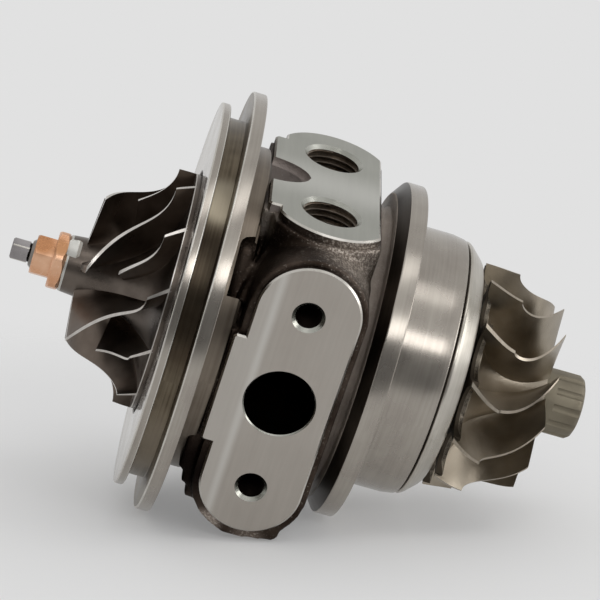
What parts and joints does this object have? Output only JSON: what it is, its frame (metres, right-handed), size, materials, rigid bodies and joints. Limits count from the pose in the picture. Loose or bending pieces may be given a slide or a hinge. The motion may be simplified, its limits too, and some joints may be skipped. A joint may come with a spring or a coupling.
{
  "type": "turbocharger cartridge",
  "caption": "Turbocharger centre housing with its bladed rotor on floating bearings, a bolted oil drain flange, a boss with tapped ports, and flanges for the compressor and turbine covers.",
  "frame": {"origin": "on the shaft axis, at the front face of the large compressor rim", "axes": "+X along the shaft from the compressor wheel to the turbine wheel, -Y out of the oil drain flange, +Z out of the port boss"},
  "size_m": [0.1184, 0.0862, 0.0862],
  "materials": {
    "cast_housing": "cast, with turned and milled faces",
    "shield_sheet": "pressed and turned",
    "shaft_steel": "ground",
    "nickel_alloy": "investment cast",
    "wheel_aluminium": "cast, dark, with turned edges",
    "copper_plate": "copper plated",
    "insert_iron": "turned",
    "seal_rubber": "matt",
    "spring_steel": "oiled",
    "deflector_sheet": "pressed",
    "sleeve_steel": "ground",
    "bearing_bronze": "machined",
    "dowel_steel": "ground"
  },
  "bodies": {
    "housing": {"bearing_housing": "cast_housing", "heat_shield": "shield_sheet", "seal_insert": "insert_iron", "insert_o_ring": "seal_rubber", "insert_clip": "spring_steel", "oil_deflector": "deflector_sheet", "compressor_piston_ring": "spring_steel", "turbine_piston_ring_inner": "spring_steel", "turbine_piston_ring_outer": "spring_steel", "thrust_bearing": "bearing_bronze", "thrust_dowels": "dowel_steel", "bearing_rings_compressor": "spring_steel", "bearing_rings_turbine": "spring_steel"},
    "rotor": {"rotor_shaft": "shaft_steel", "turbine_wheel": "nickel_alloy", "compressor_wheel": "wheel_aluminium", "lock_nut": "copper_plate", "seal_sleeve": "sleeve_steel", "thrust_sleeve": "sleeve_steel", "thrust_ring": "sleeve_steel"},
    "bearing_c": {"journal_bearing_compressor": "bearing_bronze"},
    "bearing_t": {"journal_bearing_turbine": "bearing_bronze"}
  },
  "joints": [
    {"name": "rotor_spin", "type": "hinge", "parent": "housing", "child": "rotor", "pos_m": [0, 0, 0], "axis": [1, 0, 0], "continuous": true},
    {"name": "bearing_c_float", "type": "hinge", "parent": "housing", "child": "bearing_c", "pos_m": [0.0179, 0, 0], "axis": [1, 0, 0], "continuous": true},
    {"name": "bearing_t_float", "type": "hinge", "parent": "housing", "child": "bearing_t", "pos_m": [0.0379, 0, 0], "axis": [1, 0, 0], "continuous": true}
  ]
}
